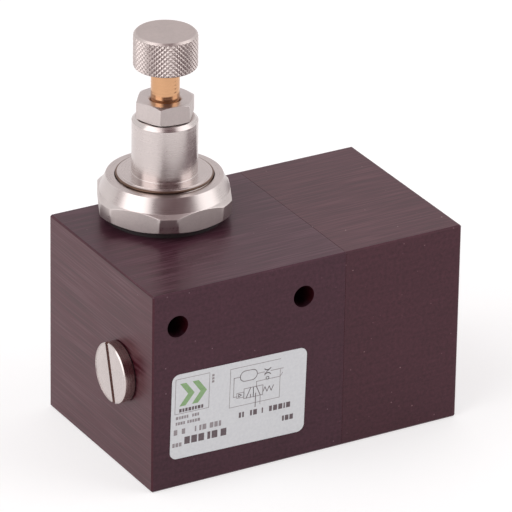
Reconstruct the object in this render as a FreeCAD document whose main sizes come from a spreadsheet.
"""Adjustable pneumatic time-delay valve: a needle flow control with a one-way
lip seal, an air reservoir and a spring-returned 3/2 spool valve, in two blocks.

Frame: millimetres, origin at the centre of the bottom face of the two joined
blocks, X along the blocks (the reservoir is at +X), Y from the label face to
the back, Z up along the adjusting needle.
"""

import FreeCAD
import Part

import os

import Sketcher

# Driving dimensions.  Every sub-part below is bound to these cells.
SIZES = {
    # The two blocks
    "left_face": -32.75,
    "block_depth": 40.0,
    "front_face": -20.0,
    "block_height": 40.0,
    "valve_block_length": 40.5,
    "seam_face": 7.75,
    "reservoir_block_length": 25.0,
    "edge_chamfer": 0.3,
    "seam_chamfer": 0.05,
    # Mounting holes, front to back
    "mounting_hole_radius": 2.15,
    "mounting_hole_height": 33.0,
    "mounting_hole_left": -27.6,
    "mounting_hole_right": -1.1,
    "mounting_hole_start": -21.0,
    "mounting_hole_cut": 42.0,
    # Spool bore, along X
    "spool_axis_depth": -8.15,
    "spool_axis_height": 20.0,
    "plug_thread_radius": 4.5,
    "plug_thread_cut": 5.75,
    "spool_bore_start": -27.0,
    "spool_bore_radius": 4.0,
    "spool_bore_cut": 29.2,
    "annulus_radius": 4.6,
    "outlet_annulus_start": -16.4,
    "outlet_annulus_width": 6.6,
    "supply_annulus_start": -6.6,
    "supply_annulus_width": 4.0,
    "piston_bore_start": 2.2,
    "piston_bore_radius": 6.0,
    "piston_bore_cut": 5.55,
    # Ports in the bottom face
    "port_radius": 2.1,
    "port_thread_depth": 7.0,
    "port_drill_radius": 1.6,
    "port_drill_depth": 17.5,
    "signal_drill_depth": 14.5,
    "exhaust_port": -24.2,
    "outlet_port": -14.4,
    "supply_port": -4.6,
    "breather_radius": 0.6,
    "breather_position": 2.9,
    "breather_depth": 14.5,
    # Needle cartridge bore, along Z
    "needle_axis_x": -13.4,
    "needle_axis_y": 10.9,
    "cartridge_bore_bottom": 14.0,
    "cartridge_bore_radius": 6.0,
    "cartridge_bore_cut": 18.3,
    "cartridge_thread_bottom": 32.1,
    "cartridge_thread_radius": 7.05,
    "cartridge_thread_cut": 7.9,
    "passage_radius": 1.25,
    "passage_height": 25.0,
    "passage_start": -9.4,
    "passage_cut": 17.15,
    # Tie screws, along X through the reservoir block
    "tie_half_pitch": 15.25,
    "tie_low": 4.75,
    "tie_high": 35.25,
    "tie_thread_radius": 2.02,
    "tie_thread_start": 2.3,
    "tie_thread_cut": 5.45,
    "tie_clearance_radius": 2.15,
    "tie_counterbore_radius": 3.7,
    "tie_seat": 28.35,
    "tie_counterbore_depth": 4.4,
    "tie_tip": 3.35,
    "tie_shank_radius": 1.98,
    "tie_shank_length": 25.2,
    "tie_head_radius": 3.5,
    "tie_head_height": 4.0,
    "tie_socket_start": 30.15,
    "tie_socket_radius": 1.73,
    "tie_socket_depth": 2.2,
    # Reservoir
    "reservoir_axis_depth": 5.5,
    "reservoir_radius": 11.0,
    "reservoir_length": 18.25,
    "seam_ring_depth": 1.3,
    "seam_groove_outer": 18.0,
    "seam_groove_inner": 16.0,
    "seam_groove_length": 1.6,
    "seam_ring_radius": 17.0,
    "seam_ring_section": 0.78,
    "seam_ring_position": 8.55,
    # Slotted end plug and its seal washer
    "plug_outer_face": -35.25,
    "plug_bevel_end": -34.95,
    "plug_seat": -33.0,
    "plug_tip_bevel": -27.9,
    "plug_tip": -27.5,
    "plug_bevel_radius": 5.5,
    "plug_head_radius": 5.8,
    "plug_shank_radius": 4.45,
    "plug_tip_radius": 4.05,
    "plug_slot_width": 0.9,
    "plug_slot_depth": 1.3,
    "plug_slot_tilt": -15.4,
    "plug_washer_inner": 4.6,
    "plug_washer_outer": 5.45,
    # Spool, from the spring end to the piston end
    "spool_spring_end": -19.2,
    "spool_stem_radius": 1.8,
    "spool_land_radius": 3.93,
    "spool_waist_radius": 2.0,
    "spool_groove_radius": 2.95,
    "exhaust_land_start": -15.4,
    "exhaust_groove_start": -14.95,
    "exhaust_ring": -14.3,
    "exhaust_groove_end": -13.65,
    "exhaust_land_end": -13.2,
    "supply_land_start": -9.3,
    "supply_groove_start": -8.85,
    "supply_ring": -8.2,
    "supply_groove_end": -7.55,
    "supply_land_end": -7.1,
    "pilot_land_start": -0.6,
    "pilot_groove_start": 0.65,
    "pilot_ring": 1.3,
    "pilot_groove_end": 1.95,
    "pilot_land_end": 5.5,
    "spool_piston_end": 7.5,
    "spool_ring_radius": 3.45,
    "spool_ring_section": 0.5,
    # Pilot piston
    "piston_face": 7.7,
    "piston_radius": 5.93,
    "piston_hole_radius": 2.02,
    "piston_groove_start": 5.9,
    "piston_groove_end": 7.3,
    "piston_groove_radius": 4.8,
    "piston_ring": 6.6,
    "piston_ring_radius": 5.4,
    "piston_ring_section": 0.58,
    # Return spring
    "spring_length": 11.4,
    "spring_start": -27.15,
    "spring_pitch": 1.3,
    "spring_coil_radius": 2.6,
    "spring_wire_radius": 0.3,
    # Bonnet, from its nose in the block to its top
    "nose_bottom": 19.5,
    "nose_radius": 4.4,
    "collar_bottom": 22.1,
    "collar_top": 23.0,
    "collar_radius": 4.9,
    "guide_bottom": 27.8,
    "guide_radius": 5.93,
    "guide_groove_bottom": 29.2,
    "guide_groove_top": 30.6,
    "guide_groove_radius": 4.85,
    "guide_ring": 29.9,
    "guide_ring_radius": 5.42,
    "guide_ring_section": 0.55,
    "bonnet_thread_bottom": 32.2,
    "bonnet_thread_radius": 7.0,
    "neck_radius": 9.2,
    "neck_bevel_bottom": 48.2,
    "neck_bevel_radius": 8.7,
    "neck_top": 48.6,
    "bonnet_radius": 6.2,
    "bonnet_bevel_bottom": 59.0,
    "bonnet_bevel_radius": 5.5,
    "bonnet_top": 59.7,
    "needle_bore_radius": 3.2,
    "needle_bore_top": 39.2,
    "spindle_bore_radius": 2.76,
    "cross_hole_radius": 0.9,
    "cross_hole_start": -5.5,
    "cross_hole_cut": 11.0,
    # Needle seat and the one-way lip seal
    "seat_hole_radius": 0.9,
    "seat_bottom": 18.3,
    "seat_flange_radius": 5.2,
    "seat_neck_radius": 3.18,
    "seat_top": 23.5,
    "lip_inner_radius": 4.42,
    "lip_bottom": 19.6,
    "lip_root_radius": 4.9,
    "lip_valley_radius": 5.1,
    "lip_valley": 20.8,
    "lip_tip_inner": 5.65,
    "lip_tip": 19.75,
    "lip_tip_outer": 5.92,
    "lip_edge": 19.95,
    "lip_heel_radius": 5.4,
    "lip_top": 22.0,
    # Needle, from its point to its swivel socket
    "needle_point": 20.9,
    "needle_point_radius": 0.3,
    "needle_taper_top": 28.9,
    "needle_taper_radius": 0.85,
    "needle_stem_radius": 1.5,
    "needle_guide_bottom": 30.5,
    "needle_guide_radius": 3.12,
    "needle_groove_bottom": 31.2,
    "needle_groove_radius": 2.12,
    "needle_groove_top": 32.5,
    "needle_ring": 31.85,
    "needle_ring_radius": 2.65,
    "needle_ring_section": 0.5,
    "needle_top": 37.5,
    "socket_mouth_radius": 1.3,
    "socket_roof": 36.6,
    "socket_radius": 1.98,
    "socket_floor": 34.9,
    # Spindle
    "swivel_bottom": 35.0,
    "swivel_radius": 1.9,
    "swivel_top": 36.5,
    "swivel_neck_radius": 1.2,
    "spindle_bottom": 38.0,
    "spindle_bevel_radius": 2.4,
    "spindle_bevel_top": 38.3,
    "spindle_radius": 2.7,
    "spindle_tip_bevel": 74.7,
    "spindle_tip": 75.0,
    # Adjusting knob
    "knob_bottom": 69.8,
    "knob_bevel_top": 70.1,
    "knob_radius": 6.05,
    "knob_under_radius": 5.75,
    "knob_rim": 76.1,
    "knob_top_radius": 5.55,
    "knob_top": 76.6,
    "knob_bore_radius": 2.72,
    "knob_bore_top": 75.1,
    # Lock nut
    "lock_nut_corner": 5.774,
    "lock_nut_bottom": 59.8,
    "lock_nut_lower_bevel": 60.05,
    "lock_nut_upper_bevel": 63.1,
    "lock_nut_top": 63.5,
    "lock_nut_face_radius": 4.95,
    "lock_nut_mouth": 63.1,
    "lock_nut_mouth_radius": 3.3,
    "lock_nut_height": 3.7,
    "lock_nut_turn": -127.3,
    # Rubber panel washer and panel nut
    "washer_inner": 9.3,
    "washer_outer": 11.4,
    "washer_top": 41.05,
    "panel_nut_bottom": 41.1,
    "panel_nut_foot_radius": 12.1,
    "panel_nut_rim_radius": 13.25,
    "panel_nut_lower_bevel": 41.8,
    "panel_nut_upper_bevel": 44.5,
    "panel_nut_shoulder_radius": 12.2,
    "panel_nut_shoulder": 45.15,
    "panel_nut_crown_radius": 11.0,
    "panel_nut_top": 47.9,
    "panel_nut_mouth_radius": 9.8,
    "panel_nut_mouth": 47.4,
    "panel_nut_bore": 9.3,
    "panel_nut_corner": 14.145,
    "panel_nut_height": 6.8,
    "panel_nut_turn": -115.2,
    # Label plate on the front face
    "label_left": -28.865,
    "label_bottom": 5.55,
    "label_length": 28.45,
    "label_height": 17.3,
    "label_thickness": 0.12,
    "label_face": -20.12,
    "label_corner": 1.5,
    "label_tilt": 1.45,
}

doc = FreeCAD.newDocument("time_delay_valve")
sheet = doc.addObject("Spreadsheet::Sheet", "sizes")
for row, (alias, value) in enumerate(SIZES.items(), start=1):
    sheet.set(f"A{row}", alias)
    sheet.set(f"B{row}", str(value))
    sheet.setAlias(f"B{row}", alias)
doc.recompute()

NODES = []


def bind(obj, **cells):
    """Bind each property of obj to the sheet cell with the given alias."""
    for prop, alias in cells.items():
        obj.setExpression(prop, f"sizes.{alias}")
    return obj


def place(obj, x=None, y=None, z=None):
    """Bind the base of obj's placement to sheet cells."""
    for axis, alias in (("x", x), ("y", y), ("z", z)):
        if alias:
            obj.setExpression(f"Placement.Base.{axis}", f"sizes.{alias}")
    return obj


def point_along(obj, axis):
    """Turn an upright primitive so that its height runs along X or Y."""
    if axis == "x":
        obj.Placement.Rotation = FreeCAD.Rotation(FreeCAD.Vector(0, 1, 0), 90)
    if axis == "y":
        obj.Placement.Rotation = FreeCAD.Rotation(FreeCAD.Vector(1, 0, 0), -90)
    return obj


def cylinder(name, axis, radius, height, x=None, y=None, z=None):
    """A cylinder from (x, y, z) along the positive axis."""
    solid = doc.addObject("Part::Cylinder", name)
    bind(solid, Radius=radius, Height=height)
    return place(point_along(solid, axis), x, y, z)


def ring(name, axis, radius, section, x=None, y=None, z=None):
    """An O-ring as a torus about the axis through (x, y, z)."""
    torus = doc.addObject("Part::Torus", name)
    bind(torus, Radius1=radius, Radius2=section)
    return place(point_along(torus, axis), x, y, z)


def cut(name, base, tools):
    """base minus every solid in tools."""
    tool = tools[0]
    if len(tools) > 1:
        tool = doc.addObject("Part::MultiFuse", name + "_tools")
        tool.Shapes = tools
    result = doc.addObject("Part::Cut", name)
    result.Base = base
    result.Tool = tool
    return result


def node(obj, label):
    """Keep obj as the finished sub-part called label."""
    obj.Label = label
    NODES.append(obj)
    return obj


def turned(name, points, upright=True):
    """A PartDesign body turned from a closed outline.

    points are (along, radius) pairs of sheet aliases, where along runs up Z
    for an upright piece and along X for a lying one; a radius of None is a
    point on the axis.
    """
    body = doc.addObject("PartDesign::Body", name)
    sketch = body.newObject("Sketcher::SketchObject", name + "_outline")
    for plane in body.Origin.OriginFeatures:
        if plane.Role == "XZ_Plane":
            sketch.AttachmentSupport = [(plane, "")]
    sketch.MapMode = "FlatFace"
    along_key, radius_key = ("DistanceY", "DistanceX") if upright else ("DistanceX", "DistanceY")
    axis_line = -2 if upright else -1

    def corner(point):
        along = SIZES[point[0]]
        radius = SIZES[point[1]] if point[1] else 0.0
        return FreeCAD.Vector(radius, along, 0) if upright else FreeCAD.Vector(along, radius, 0)

    count = len(points)
    for i in range(count):
        sketch.addGeometry(Part.LineSegment(corner(points[i]), corner(points[(i + 1) % count])))
    for i in range(count):
        sketch.addConstraint(Sketcher.Constraint("Coincident", i, 2, (i + 1) % count, 1))
    for i, (along, radius) in enumerate(points):
        index = sketch.addConstraint(Sketcher.Constraint(along_key, -1, 1, i, 1, SIZES[along]))
        sketch.setExpression(f"Constraints[{index}]", f"sizes.{along}")
        if radius is None:
            sketch.addConstraint(Sketcher.Constraint("PointOnObject", i, 1, axis_line))
        else:
            index = sketch.addConstraint(Sketcher.Constraint(radius_key, -1, 1, i, 1, SIZES[radius]))
            sketch.setExpression(f"Constraints[{index}]", f"sizes.{radius}")
    turn = body.newObject("PartDesign::Revolution", name + "_turn")
    turn.Profile = sketch
    turn.ReferenceAxis = (sketch, ["V_Axis" if upright else "H_Axis"])
    turn.Angle = 360
    sketch.Visibility = False
    return body


def on_needle_axis(obj):
    return place(obj, x="needle_axis_x", y="needle_axis_y")


def on_spool_axis(obj):
    return place(obj, y="spool_axis_depth", z="spool_axis_height")


def chamfered_block(name, length, start):
    """A block of the common section whose seam-side edges get the finer chamfer."""
    box = doc.addObject("Part::Box", name + "_blank")
    bind(box, Length=length, Width="block_depth", Height="block_height")
    place(box, x=start, y="front_face")
    doc.recompute()
    sizes = []
    for number, edge in enumerate(box.Shape.Edges, start=1):
        at_seam = all(abs(v.X - SIZES["seam_face"]) < 0.01 for v in edge.Vertexes)
        size = SIZES["seam_chamfer"] if at_seam else SIZES["edge_chamfer"]
        sizes.append((number, size, size))
    chamfer = doc.addObject("Part::Chamfer", name + "_chamfer")
    chamfer.Base = box
    chamfer.Edges = sizes
    return chamfer


def tie_positions():
    """Number, sign of Y and height cell of each tie screw."""
    heights = ("tie_low", "tie_high")
    return [(2 * i + j, sign, heights[j]) for i, sign in enumerate((-1, 1)) for j in range(2)]


def at_tie(obj, sign, height):
    obj.setExpression("Placement.Base.y", f"{sign} * sizes.tie_half_pitch")
    return place(obj, z=height)


def valve_block():
    """The block with the spool bore, the cartridge bore and all the ports."""
    spool = {"y": "spool_axis_depth", "z": "spool_axis_height"}
    needle = {"x": "needle_axis_x", "y": "needle_axis_y"}
    bores = [
        cylinder("plug_thread", "x", "plug_thread_radius", "plug_thread_cut", "left_face", **spool),
        cylinder("spool_bore", "x", "spool_bore_radius", "spool_bore_cut", "spool_bore_start", **spool),
        cylinder("outlet_annulus", "x", "annulus_radius", "outlet_annulus_width",
                 "outlet_annulus_start", **spool),
        cylinder("supply_annulus", "x", "annulus_radius", "supply_annulus_width",
                 "supply_annulus_start", **spool),
        cylinder("piston_bore", "x", "piston_bore_radius", "piston_bore_cut", "piston_bore_start", **spool),
        cylinder("breather", "z", "breather_radius", "breather_depth", "breather_position",
                 "spool_axis_depth"),
        cylinder("cartridge_bore", "z", "cartridge_bore_radius", "cartridge_bore_cut",
                 z="cartridge_bore_bottom", **needle),
        cylinder("cartridge_thread", "z", "cartridge_thread_radius", "cartridge_thread_cut",
                 z="cartridge_thread_bottom", **needle),
        cylinder("passage", "x", "passage_radius", "passage_cut", "passage_start", "needle_axis_y",
                 "passage_height"),
        cylinder("signal_port", "z", "port_radius", "port_thread_depth", **needle),
        cylinder("signal_drill", "z", "port_drill_radius", "signal_drill_depth", **needle),
    ]
    for port in ("exhaust_port", "outlet_port", "supply_port"):
        bores.append(cylinder(port, "z", "port_radius", "port_thread_depth", port, "spool_axis_depth"))
        bores.append(cylinder(port + "_drill", "z", "port_drill_radius", "port_drill_depth", port,
                              "spool_axis_depth"))
    for side in ("mounting_hole_left", "mounting_hole_right"):
        bores.append(cylinder(side, "y", "mounting_hole_radius", "mounting_hole_cut", side,
                              "mounting_hole_start", "mounting_hole_height"))
    for number, sign, height in tie_positions():
        thread = cylinder(f"tie_thread_{number}", "x", "tie_thread_radius", "tie_thread_cut",
                          "tie_thread_start")
        bores.append(at_tie(thread, sign, height))
    blank = chamfered_block("valve_block", "valve_block_length", "left_face")
    node(cut("valve_block_cut", blank, bores), "valve_block")


def reservoir_block():
    """The block with the air reservoir, the seam groove and the screw holes."""
    bores = [cylinder("reservoir", "x", "reservoir_radius", "reservoir_length", "seam_face",
                      "reservoir_axis_depth", "spool_axis_height")]
    seam = {"x": "seam_face", "y": "seam_ring_depth", "z": "spool_axis_height"}
    outer = cylinder("seam_groove_outer", "x", "seam_groove_outer", "seam_groove_length", **seam)
    inner = cylinder("seam_groove_inner", "x", "seam_groove_inner", "seam_groove_length", **seam)
    bores.append(cut("seam_groove", outer, [inner]))
    for number, sign, height in tie_positions():
        hole = cylinder(f"tie_clearance_{number}", "x", "tie_clearance_radius", "reservoir_block_length",
                        "seam_face")
        bores.append(at_tie(hole, sign, height))
        seat = cylinder(f"tie_counterbore_{number}", "x", "tie_counterbore_radius",
                        "tie_counterbore_depth", "tie_seat")
        bores.append(at_tie(seat, sign, height))
    blank = chamfered_block("reservoir_block", "reservoir_block_length", "seam_face")
    node(cut("reservoir_block_cut", blank, bores), "reservoir_block")


def tie_screws():
    """Four socket-head screws that clamp the reservoir block to the valve block."""
    screws = []
    for number, sign, height in tie_positions():
        shank = at_tie(cylinder(f"tie_shank_{number}", "x", "tie_shank_radius", "tie_shank_length",
                                "tie_tip"), sign, height)
        head = at_tie(cylinder(f"tie_head_{number}", "x", "tie_head_radius", "tie_head_height",
                               "tie_seat"), sign, height)
        screw = doc.addObject("Part::MultiFuse", f"tie_blank_{number}")
        screw.Shapes = [shank, head]
        socket = doc.addObject("Part::Prism", f"tie_socket_{number}")
        socket.Polygon = 6
        bind(socket, Circumradius="tie_socket_radius", Height="tie_socket_depth")
        at_tie(place(point_along(socket, "x"), x="tie_socket_start"), sign, height)
        screws.append(cut(f"tie_screw_{number}", screw, [socket]))
    group = doc.addObject("Part::Compound", "tie_screw_group")
    group.Links = screws
    node(group, "tie_screws")


def end_plug():
    """Slotted plug that closes the spool bore and carries the spring."""
    body = on_spool_axis(turned("plug_body", [
        ("plug_outer_face", None), ("plug_outer_face", "plug_bevel_radius"),
        ("plug_bevel_end", "plug_head_radius"), ("plug_seat", "plug_head_radius"),
        ("plug_seat", "plug_shank_radius"), ("plug_tip_bevel", "plug_shank_radius"),
        ("plug_tip", "plug_tip_radius"), ("plug_tip", None)], upright=False))
    slot = doc.addObject("Part::Box", "plug_slot")
    bind(slot, Length="plug_slot_depth", Width="plug_slot_width")
    slot.setExpression("Height", "3 * sizes.plug_head_radius")
    slot.Placement.Rotation = FreeCAD.Rotation(FreeCAD.Vector(1, 0, 0), SIZES["plug_slot_tilt"])
    slot.setExpression("Placement.Base.x", "sizes.plug_outer_face - 0.01")
    tilt = "sizes.plug_slot_tilt * 1deg"
    half = "1.5 * sizes.plug_head_radius"
    slot.setExpression("Placement.Base.y", "sizes.spool_axis_depth - 0.5 * sizes.plug_slot_width"
                       f" * cos({tilt}) + {half} * sin({tilt})")
    slot.setExpression("Placement.Base.z", "sizes.spool_axis_height - 0.5 * sizes.plug_slot_width"
                       f" * sin({tilt}) - {half} * cos({tilt})")
    node(cut("plug_cut", body, [slot]), "end_plug")
    node(on_spool_axis(turned("plug_washer_body", [
        ("plug_seat", "plug_washer_inner"), ("plug_seat", "plug_washer_outer"),
        ("left_face", "plug_washer_outer"), ("left_face", "plug_washer_inner")], upright=False)),
        "end_plug_washer")


def spool():
    """Three-land spool with its O-rings."""
    node(on_spool_axis(turned("spool_body", [
        ("spool_spring_end", None), ("spool_spring_end", "spool_stem_radius"),
        ("exhaust_land_start", "spool_stem_radius"), ("exhaust_land_start", "spool_land_radius"),
        ("exhaust_groove_start", "spool_land_radius"), ("exhaust_groove_start", "spool_groove_radius"),
        ("exhaust_groove_end", "spool_groove_radius"), ("exhaust_groove_end", "spool_land_radius"),
        ("exhaust_land_end", "spool_land_radius"), ("exhaust_land_end", "spool_waist_radius"),
        ("supply_land_start", "spool_waist_radius"), ("supply_land_start", "spool_land_radius"),
        ("supply_groove_start", "spool_land_radius"), ("supply_groove_start", "spool_groove_radius"),
        ("supply_groove_end", "spool_groove_radius"), ("supply_groove_end", "spool_land_radius"),
        ("supply_land_end", "spool_land_radius"), ("supply_land_end", "spool_waist_radius"),
        ("pilot_land_start", "spool_waist_radius"), ("pilot_land_start", "spool_land_radius"),
        ("pilot_groove_start", "spool_land_radius"), ("pilot_groove_start", "spool_groove_radius"),
        ("pilot_groove_end", "spool_groove_radius"), ("pilot_groove_end", "spool_land_radius"),
        ("pilot_land_end", "spool_land_radius"), ("pilot_land_end", "spool_waist_radius"),
        ("spool_piston_end", "spool_waist_radius"), ("spool_piston_end", None)], upright=False)),
        "spool")
    rings = []
    for place_name in ("exhaust_ring", "supply_ring", "pilot_ring"):
        rings.append(ring("spool_" + place_name, "x", "spool_ring_radius", "spool_ring_section",
                          place_name, "spool_axis_depth", "spool_axis_height"))
    group = doc.addObject("Part::Compound", "spool_ring_group")
    group.Links = rings
    node(group, "spool_orings")


def pilot_piston():
    """Piston that the reservoir pressure pushes, fixed on the spool's end."""
    node(on_spool_axis(turned("piston_body", [
        ("pilot_land_end", "piston_hole_radius"), ("pilot_land_end", "piston_radius"),
        ("piston_groove_start", "piston_radius"), ("piston_groove_start", "piston_groove_radius"),
        ("piston_groove_end", "piston_groove_radius"), ("piston_groove_end", "piston_radius"),
        ("piston_face", "piston_radius"), ("piston_face", "piston_hole_radius")], upright=False)),
        "pilot_piston")
    node(ring("piston_ring", "x", "piston_ring_radius", "piston_ring_section", "piston_ring",
              "spool_axis_depth", "spool_axis_height"), "piston_oring")


def return_spring():
    """Compression spring between the end plug and the spool."""
    coil = doc.addObject("Part::Helix", "spring_line")
    bind(coil, Pitch="spring_pitch", Height="spring_length", Radius="spring_coil_radius")
    on_spool_axis(place(point_along(coil, "x"), x="spring_start"))
    wire = doc.addObject("Part::Circle", "spring_wire")
    bind(wire, Radius="spring_wire_radius")
    # The line starts at the coil's lowest point, where the wire runs along Y.
    wire.Placement.Rotation = FreeCAD.Rotation(FreeCAD.Vector(1, 0, 0), 90)
    place(wire, x="spring_start", y="spool_axis_depth")
    wire.setExpression("Placement.Base.z", "sizes.spool_axis_height - sizes.spring_coil_radius")
    sweep = doc.addObject("Part::Sweep", "spring_sweep")
    sweep.Sections = [wire]
    sweep.Spine = (coil, [])
    sweep.Solid = True
    sweep.Frenet = True
    node(sweep, "return_spring")


def bonnet():
    """Threaded cartridge housing whose neck also takes the panel nut."""
    body = on_needle_axis(turned("bonnet_body", [
        ("nose_bottom", "needle_bore_radius"), ("nose_bottom", "nose_radius"),
        ("collar_bottom", "nose_radius"), ("collar_bottom", "collar_radius"),
        ("collar_top", "collar_radius"), ("collar_top", "nose_radius"),
        ("guide_bottom", "nose_radius"), ("guide_bottom", "guide_radius"),
        ("guide_groove_bottom", "guide_radius"), ("guide_groove_bottom", "guide_groove_radius"),
        ("guide_groove_top", "guide_groove_radius"), ("guide_groove_top", "guide_radius"),
        ("bonnet_thread_bottom", "guide_radius"), ("bonnet_thread_bottom", "bonnet_thread_radius"),
        ("block_height", "bonnet_thread_radius"), ("block_height", "neck_radius"),
        ("neck_bevel_bottom", "neck_radius"), ("neck_top", "neck_bevel_radius"),
        ("neck_top", "bonnet_radius"), ("bonnet_bevel_bottom", "bonnet_radius"),
        ("bonnet_top", "bonnet_bevel_radius"), ("bonnet_top", "spindle_bore_radius"),
        ("needle_bore_top", "spindle_bore_radius"), ("needle_bore_top", "needle_bore_radius")]))
    along_x = cylinder("cross_hole_x", "x", "cross_hole_radius", "cross_hole_cut", None,
                       "needle_axis_y", "passage_height")
    along_x.setExpression("Placement.Base.x", "sizes.needle_axis_x + sizes.cross_hole_start")
    along_y = cylinder("cross_hole_y", "y", "cross_hole_radius", "cross_hole_cut", "needle_axis_x",
                       None, "passage_height")
    along_y.setExpression("Placement.Base.y", "sizes.needle_axis_y + sizes.cross_hole_start")
    node(cut("bonnet_cut", body, [along_x, along_y]), "bonnet")
    node(ring("guide_ring", "z", "guide_ring_radius", "guide_ring_section", "needle_axis_x",
              "needle_axis_y", "guide_ring"), "bonnet_oring")


def needle_seat():
    """Seat with the metering hole, and the lip seal that lets air back past it."""
    node(on_needle_axis(turned("seat_body", [
        ("seat_bottom", "seat_hole_radius"), ("seat_bottom", "seat_flange_radius"),
        ("nose_bottom", "seat_flange_radius"), ("nose_bottom", "seat_neck_radius"),
        ("seat_top", "seat_neck_radius"), ("seat_top", "seat_hole_radius")])), "needle_seat")
    node(on_needle_axis(turned("lip_body", [
        ("lip_top", "lip_inner_radius"), ("lip_bottom", "lip_inner_radius"),
        ("lip_bottom", "lip_root_radius"), ("lip_valley", "lip_valley_radius"),
        ("lip_tip", "lip_tip_inner"), ("lip_edge", "lip_tip_outer"),
        ("lip_top", "lip_heel_radius")])), "check_lip_seal")


def needle():
    """Tapered needle with its O-ring and the socket for the spindle's swivel."""
    node(on_needle_axis(turned("needle_body", [
        ("needle_point", None), ("needle_point", "needle_point_radius"),
        ("needle_taper_top", "needle_taper_radius"), ("needle_taper_top", "needle_stem_radius"),
        ("needle_guide_bottom", "needle_stem_radius"), ("needle_guide_bottom", "needle_guide_radius"),
        ("needle_groove_bottom", "needle_guide_radius"), ("needle_groove_bottom", "needle_groove_radius"),
        ("needle_groove_top", "needle_groove_radius"), ("needle_groove_top", "needle_guide_radius"),
        ("needle_top", "needle_guide_radius"), ("needle_top", "socket_mouth_radius"),
        ("socket_roof", "socket_mouth_radius"), ("socket_roof", "socket_radius"),
        ("socket_floor", "socket_radius"), ("socket_floor", None)])), "needle")
    node(ring("needle_ring", "z", "needle_ring_radius", "needle_ring_section", "needle_axis_x",
              "needle_axis_y", "needle_ring"), "needle_oring")


def spindle_and_knob():
    """Threaded spindle, with its swivel end in the needle, and the knob on it."""
    node(on_needle_axis(turned("spindle_body", [
        ("swivel_bottom", None), ("swivel_bottom", "swivel_radius"),
        ("swivel_top", "swivel_radius"), ("swivel_top", "swivel_neck_radius"),
        ("spindle_bottom", "swivel_neck_radius"), ("spindle_bottom", "spindle_bevel_radius"),
        ("spindle_bevel_top", "spindle_radius"), ("spindle_tip_bevel", "spindle_radius"),
        ("spindle_tip", "spindle_bevel_radius"), ("spindle_tip", None)])), "spindle")
    node(on_needle_axis(turned("knob_body", [
        ("knob_bottom", "knob_bore_radius"), ("knob_bottom", "knob_under_radius"),
        ("knob_bevel_top", "knob_radius"), ("knob_rim", "knob_radius"),
        ("knob_top", "knob_top_radius"), ("knob_top", None),
        ("knob_bore_top", None), ("knob_bore_top", "knob_bore_radius")])), "adjusting_knob")


def hex_nut(name, label, corner, bottom, height, turn, blank):
    """A turned blank cut to a hexagon with the given corner radius."""
    prism = doc.addObject("Part::Prism", name + "_hexagon")
    prism.Polygon = 6
    bind(prism, Circumradius=corner, Height=height)
    prism.Placement.Rotation = FreeCAD.Rotation(FreeCAD.Vector(0, 0, 1), SIZES[turn])
    place(on_needle_axis(prism), z=bottom)
    nut = doc.addObject("Part::Common", name + "_nut")
    nut.Base = prism
    nut.Tool = blank
    node(nut, label)


def nuts():
    """Lock nut on the spindle, and the washer and nut for panel mounting."""
    lock_blank = on_needle_axis(turned("lock_blank", [
        ("lock_nut_bottom", "spindle_bore_radius"), ("lock_nut_bottom", "lock_nut_face_radius"),
        ("lock_nut_lower_bevel", "lock_nut_corner"), ("lock_nut_upper_bevel", "lock_nut_corner"),
        ("lock_nut_top", "lock_nut_face_radius"), ("lock_nut_top", "lock_nut_mouth_radius"),
        ("lock_nut_mouth", "spindle_bore_radius")]))
    hex_nut("lock", "lock_nut", "lock_nut_corner", "lock_nut_bottom", "lock_nut_height",
            "lock_nut_turn", lock_blank)
    node(on_needle_axis(turned("washer_body", [
        ("block_height", "washer_inner"), ("block_height", "washer_outer"),
        ("washer_top", "washer_outer"), ("washer_top", "washer_inner")])), "panel_washer")
    panel_blank = on_needle_axis(turned("panel_blank", [
        ("panel_nut_bottom", "panel_nut_bore"), ("panel_nut_bottom", "panel_nut_foot_radius"),
        ("panel_nut_lower_bevel", "panel_nut_rim_radius"),
        ("panel_nut_upper_bevel", "panel_nut_rim_radius"),
        ("panel_nut_shoulder", "panel_nut_shoulder_radius"), ("panel_nut_top", "panel_nut_crown_radius"),
        ("panel_nut_top", "panel_nut_mouth_radius"), ("panel_nut_mouth", "panel_nut_bore")]))
    hex_nut("panel", "panel_nut", "panel_nut_corner", "panel_nut_bottom", "panel_nut_height",
            "panel_nut_turn", panel_blank)


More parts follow.
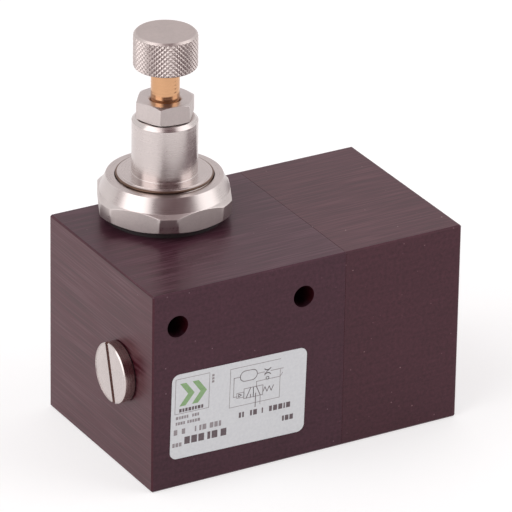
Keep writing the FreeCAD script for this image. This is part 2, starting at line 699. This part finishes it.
def seam_ring():
    node(ring("seam_ring", "x", "seam_ring_radius", "seam_ring_section", "seam_ring_position",
              "seam_ring_depth", "spool_axis_height"), "seam_oring")


def rating_label():
    """Thin plate with rounded corners, stuck slightly askew on the front face."""
    plate = doc.addObject("Part::Box", "label_plate")
    bind(plate, Length="label_length", Width="label_thickness", Height="label_height")
    plate.Placement.Rotation = FreeCAD.Rotation(FreeCAD.Vector(0, 1, 0), SIZES["label_tilt"])
    tilt = "sizes.label_tilt * 1deg"
    middle_x = "sizes.label_left + 0.5 * sizes.label_length"
    middle_z = "sizes.label_bottom + 0.5 * sizes.label_height"
    plate.setExpression("Placement.Base.x", f"{middle_x} - 0.5 * sizes.label_length * cos({tilt})"
                        f" - 0.5 * sizes.label_height * sin({tilt})")
    plate.setExpression("Placement.Base.z", f"{middle_z} + 0.5 * sizes.label_length * sin({tilt})"
                        f" - 0.5 * sizes.label_height * cos({tilt})")
    place(plate, y="label_face")
    doc.recompute()
    corners = []
    for number, edge in enumerate(plate.Shape.Edges, start=1):
        if abs(edge.Length - SIZES["label_thickness"]) < 0.001:
            corners.append((number, SIZES["label_corner"], SIZES["label_corner"]))
    rounded = doc.addObject("Part::Fillet", "label_rounded")
    rounded.Base = plate
    rounded.Edges = corners
    node(rounded, "rating_label")


valve_block()
reservoir_block()
seam_ring()
tie_screws()
end_plug()
spool()
pilot_piston()
return_spring()
bonnet()
needle_seat()
needle()
spindle_and_knob()
nuts()
rating_label()
doc.recompute()

for obj in doc.Objects:
    if "Invalid" in obj.State or "Error" in obj.State:
        raise RuntimeError(f"{obj.Name} did not recompute: {obj.State}")
for obj in NODES:
    if obj.Shape.isNull() or not obj.Shape.isValid() or not obj.Shape.Solids:
        raise RuntimeError(f"{obj.Label} has no valid solid")

os.makedirs("parts", exist_ok=True)
for obj in NODES:
    obj.Shape.exportStep(f"parts/{obj.Label}.step")
    print(f"{obj.Label}: {len(obj.Shape.Solids)} solid(s), {obj.Shape.Volume:.1f} mm3")
